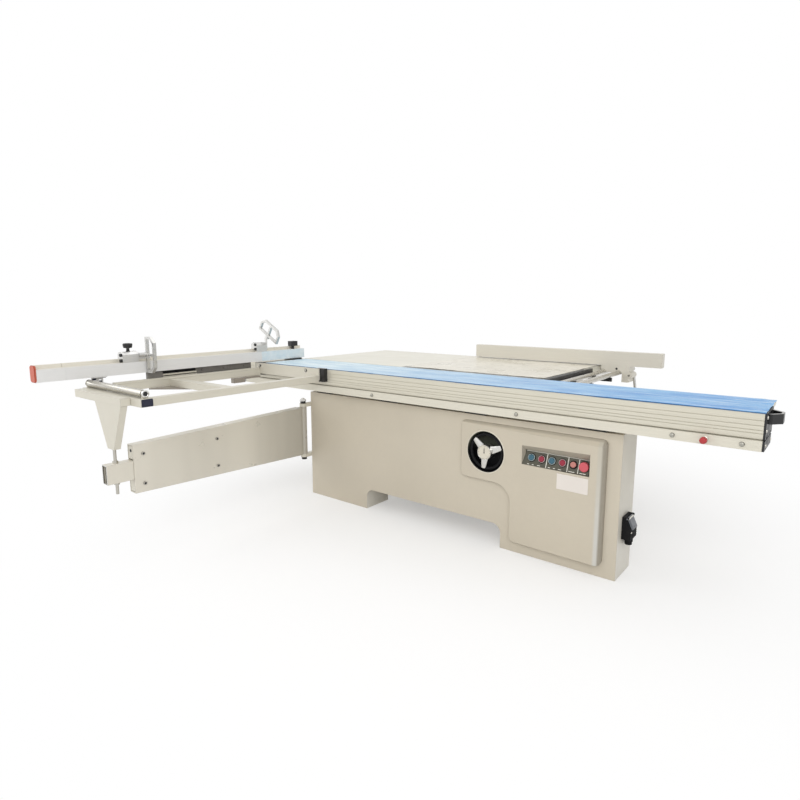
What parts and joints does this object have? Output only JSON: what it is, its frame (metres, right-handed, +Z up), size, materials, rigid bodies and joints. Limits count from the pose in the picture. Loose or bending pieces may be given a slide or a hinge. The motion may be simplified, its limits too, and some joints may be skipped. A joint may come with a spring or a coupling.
{
  "type": "sliding table saw",
  "caption": "Sliding table panel saw: a long carriage runs on a cabinet past a tilting blade, with a crosscut table, mitre fence, flip stops, swing arm and rip fence.",
  "frame": {"origin": "on the floor, midway between the four anchor holes", "axes": "+X along the carriage towards the operator's end, +Y across to the rip fence, +Z up"},
  "size_m": [3.262, 3.0246, 1.1671],
  "materials": {
    "cabinet_paint": "fine texture",
    "cover_paint": "fine texture",
    "frame_paint": "satin",
    "arm_paint": "satin",
    "panel_grey": "matte",
    "black_plastic": "matte",
    "black_metal": "satin black",
    "rail_alu": "satin",
    "carriage_alu": "anodised",
    "fence_alu": "anodised",
    "rip_alu": "anodised",
    "bright_steel": "bright",
    "table_iron": "ground",
    "table_paint": "satin",
    "wrap_film": "clear film",
    "scale_black": "black anodised",
    "saw_iron": "painted",
    "motor_paint": "satin",
    "belt_rubber": "matte",
    "blade_steel": "ground",
    "red_plastic": "satin",
    "cap_red": "satin",
    "blue_plastic": "satin",
    "grey_plastic": "satin",
    "wheel_metal": "satin"
  },
  "bodies": {
    "base": {"front_cabinet": "cabinet_paint", "control_cover": "cover_paint", "control_panel": "panel_grey", "wheel_bowl": "black_plastic", "machine_feet": "cabinet_paint", "main_body": "cabinet_paint", "rail_supports": "black_metal", "slide_rail": "rail_alu", "rail_end_caps": "black_plastic", "guide_rods": "bright_steel", "fixing_bolts": "bright_steel", "main_table": "table_iron", "extension_tables": "table_paint", "table_wrap": "wrap_film", "scale_bar": "scale_black", "tilt_trunnions": "saw_iron", "arm_hinge": "frame_paint", "power_inlet": "black_plastic"},
    "carriage": {"carriage_beam": "carriage_alu", "carriage_end_caps": "black_plastic", "push_handle": "black_plastic", "outrigger_frame": "frame_paint", "outrigger_clamps": "black_metal", "support_gusset": "frame_paint", "fence_pivot": "black_plastic"},
    "roller_carriage": {"roller_carriage": "bright_steel"},
    "outrigger_roller": {"outrigger_roller": "bright_steel"},
    "fence": {"crosscut_fence": "fence_alu"},
    "fence_extension": {"fence_extension": "fence_alu", "fence_end_cap": "cap_red"},
    "near_stop": {"stop_block_near": "fence_alu"},
    "near_finger": {"stop_finger_near": "fence_alu"},
    "far_stop": {"stop_block_far": "fence_alu"},
    "far_finger": {"stop_finger_far": "fence_alu"},
    "swing_arm": {"swing_arm": "arm_paint", "arm_guides": "black_metal"},
    "support_tube": {"support_tube": "arm_paint", "support_stud": "bright_steel"},
    "rip_carrier": {"rip_carrier": "rip_alu"},
    "rip_fence": {"rip_fence": "rip_alu"},
    "rip_lever": {"rip_lever": "black_plastic"},
    "tilt_cradle": {"tilt_cradle": "saw_iron"},
    "lift_slide": {"lift_slide": "saw_iron", "saw_motor": "motor_paint", "drive_belt": "belt_rubber"},
    "saw_arbor": {"saw_arbor": "bright_steel", "main_blade": "blade_steel"},
    "motor_pulley": {"motor_pulley": "bright_steel"},
    "scoring_slide": {"scoring_slide": "saw_iron"},
    "scoring_blade": {"scoring_blade": "blade_steel"},
    "tilt_handwheel": {"tilt_handwheel": "wheel_metal"},
    "rise_handwheel": {"rise_handwheel": "wheel_metal"},
    "main_start": {"main_start": "blue_plastic"},
    "main_stop": {"main_stop": "red_plastic"},
    "scoring_start": {"scoring_start": "blue_plastic"},
    "scoring_stop": {"scoring_stop": "red_plastic"},
    "reset_button": {"reset_button": "red_plastic"},
    "emergency_stop": {"emergency_stop": "red_plastic"},
    "lock_knob": {"lock_knob": "red_plastic"},
    "inlet_lid": {"inlet_lid": "grey_plastic"}
  },
  "joints": [
    {"name": "carriage_slide", "type": "slide", "parent": "base", "child": "carriage", "axis": [1, 0, 0], "range_m": [-1.5, 1.5]},
    {"name": "roller_carriage_slide", "type": "slide", "parent": "base", "child": "roller_carriage", "axis": [1, 0, 0], "range_m": [-0.75, 0.75]},
    {"name": "outrigger_roller_spin", "type": "hinge", "parent": "carriage", "child": "outrigger_roller", "pos_m": [-1.11, -1.717, 0.8507], "axis": [1, 0, 0], "continuous": true},
    {"name": "fence_mitre", "type": "hinge", "parent": "carriage", "child": "fence", "pos_m": [-1.416, -0.255, 0.915], "axis": [0, 0, 1], "range_deg": [0, 45]},
    {"name": "fence_extension_slide", "type": "slide", "parent": "fence", "child": "fence_extension", "axis": [0, -1, 0], "range_m": [0, 0.5]},
    {"name": "near_stop_slide", "type": "slide", "parent": "fence", "child": "near_stop", "axis": [0, 1, 0], "range_m": [-0.25, 0.35]},
    {"name": "near_finger_flip", "type": "hinge", "parent": "near_stop", "child": "near_finger", "pos_m": [-1.3915, -1.394, 0.986], "axis": [0, -1, 0], "range_deg": [0, 80]},
    {"name": "far_stop_slide", "type": "slide", "parent": "fence", "child": "far_stop", "axis": [0, 1, 0], "range_m": [-0.25, 0.07]},
    {"name": "far_finger_flip", "type": "hinge", "parent": "far_stop", "child": "far_finger", "pos_m": [-1.3915, -0.504, 1.045], "axis": [0, -1, 0], "range_deg": [-60, 15]},
    {"name": "arm_swing", "type": "hinge", "parent": "base", "child": "swing_arm", "pos_m": [-0.993, -0.548, 0.442], "axis": [0, 0, 1], "range_deg": [-52, 55]},
    {"name": "support_tube_slide", "type": "slide", "parent": "swing_arm", "child": "support_tube", "axis": [-0.0349, -0.9994, 0], "range_m": [-0.045, 0.75]},
    {"name": "rip_slide", "type": "slide", "parent": "base", "child": "rip_carrier", "axis": [0, 1, 0], "range_m": [-0.83, 0.2]},
    {"name": "rip_fence_slide", "type": "slide", "parent": "rip_carrier", "child": "rip_fence", "axis": [1, 0, 0], "range_m": [-0.15, 0.45]},
    {"name": "rip_lever_turn", "type": "hinge", "parent": "rip_carrier", "child": "rip_lever", "pos_m": [0.72, 0.75, 0.82], "axis": [0, -1, 0], "range_deg": [0, 95]},
    {"name": "tilt_wheel_turn", "type": "hinge", "parent": "base", "child": "tilt_handwheel", "pos_m": [0.377, -0.45, 0.511], "axis": [0, 1, 0], "range_deg": [0, 1440]},
    {"name": "blade_tilt", "type": "hinge", "parent": "base", "child": "tilt_cradle", "pos_m": [0, -0.161, 0.87], "axis": [-1, 0, 0], "range_deg": [0, 45]},
    {"name": "rise_wheel_turn", "type": "hinge", "parent": "base", "child": "rise_handwheel", "pos_m": [0.515, 0.15, 0.56], "axis": [1, 0, 0], "range_deg": [0, 3600]},
    {"name": "blade_rise", "type": "slide", "parent": "tilt_cradle", "child": "lift_slide", "axis": [0, 0, 1], "range_m": [0, 0.075]},
    {"name": "blade_spin", "type": "hinge", "parent": "lift_slide", "child": "saw_arbor", "pos_m": [-0.06, -0.161, 0.715], "axis": [0, 1, 0], "continuous": true},
    {"name": "motor_spin", "type": "hinge", "parent": "lift_slide", "child": "motor_pulley", "pos_m": [-0.06, 0, 0.54], "axis": [0, 1, 0], "continuous": true},
    {"name": "scoring_rise", "type": "slide", "parent": "tilt_cradle", "child": "scoring_slide", "axis": [0, 0, 1], "range_m": [0, 0.008]},
    {"name": "scoring_spin", "type": "hinge", "parent": "scoring_slide", "child": "scoring_blade", "pos_m": [0.17, -0.161, 0.806], "axis": [0, 1, 0], "continuous": true},
    {"name": "main_start_press", "type": "slide", "parent": "base", "child": "main_start", "axis": [0, 1, 0], "range_m": [0, 0.003], "stiffness_N_per_m": 400},
    {"name": "main_stop_press", "type": "slide", "parent": "base", "child": "main_stop", "axis": [0, 1, 0], "range_m": [0, 0.003], "stiffness_N_per_m": 400},
    {"name": "scoring_start_press", "type": "slide", "parent": "base", "child": "scoring_start", "axis": [0, 1, 0], "range_m": [0, 0.003], "stiffness_N_per_m": 400},
    {"name": "scoring_stop_press", "type": "slide", "parent": "base", "child": "scoring_stop", "axis": [0, 1, 0], "range_m": [0, 0.003], "stiffness_N_per_m": 400},
    {"name": "reset_button_press", "type": "slide", "parent": "base", "child": "reset_button", "axis": [0, 1, 0], "range_m": [0, 0.003], "stiffness_N_per_m": 400},
    {"name": "emergency_stop_press", "type": "slide", "parent": "base", "child": "emergency_stop", "axis": [0, 1, 0], "range_m": [0, 0.005], "stiffness_N_per_m": 400},
    {"name": "lock_knob_pull", "type": "slide", "parent": "base", "child": "lock_knob", "axis": [0, -1, 0], "range_m": [0, 0.008], "stiffness_N_per_m": 500},
    {"name": "inlet_lid_turn", "type": "hinge", "parent": "base", "child": "inlet_lid", "pos_m": [1.094, -0.4, 0.293], "axis": [0, 1, 0], "range_deg": [-90, 0]}
  ],
  "couplings": [
    {"joint": "roller_carriage_slide", "follows": "carriage_slide", "ratio": 0.5},
    {"joint": "blade_tilt", "follows": "tilt_wheel_turn", "ratio": 0.03125},
    {"joint": "blade_rise", "follows": "rise_wheel_turn", "m_per_rad": 0.0011936},
    {"joint": "motor_spin", "follows": "blade_spin", "ratio": 0.64}
  ]
}
